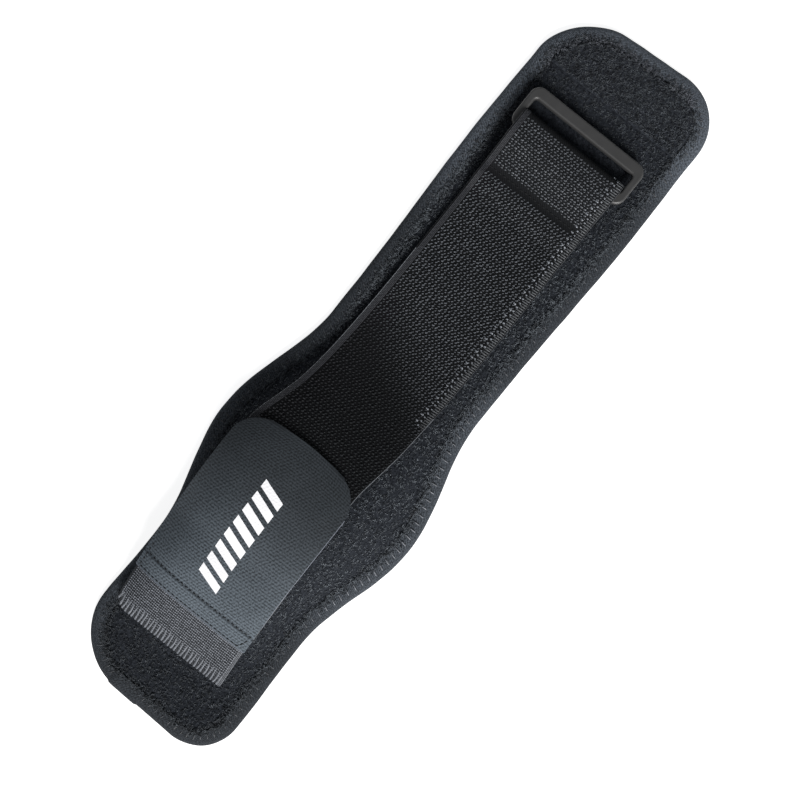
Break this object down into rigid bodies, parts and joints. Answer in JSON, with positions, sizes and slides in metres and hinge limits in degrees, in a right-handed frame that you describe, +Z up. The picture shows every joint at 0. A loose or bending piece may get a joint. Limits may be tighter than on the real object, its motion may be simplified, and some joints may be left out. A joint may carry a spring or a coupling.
{
  "type": "tennis elbow strap",
  "caption": "Padded forearm brace laid flat: dark foam cuff with a bound edge, elastic strap through a plastic ring, smooth hook tab.",
  "frame": {"origin": "on the floor under the middle of the cuff's length and width", "axes": "+X along the cuff towards the ring, +Y across it, +Z up from the face that rests against the arm"},
  "size_m": [0.35, 0.0988, 0.0263],
  "materials": {
    "pad_cloth": "looped pile cloth on foam, dark navy black",
    "binding_tape": "fine twill tape, dark grey, sewn with a slanted stitch",
    "patch_loop": "short looped pile, dark grey",
    "elastic": "looped elastic webbing, charcoal, ribbed grey back",
    "ring_plastic": "moulded dark grey plastic with a soft sheen",
    "tab_cloth": "smooth fine woven cloth, mid grey"
  },
  "bodies": {
    "root": {"pad": "pad_cloth", "edge_binding": "binding_tape", "end_patch": "patch_loop", "strap": "elastic", "ring": "ring_plastic", "hook_tab": "tab_cloth"}
  },
  "joints": []
}
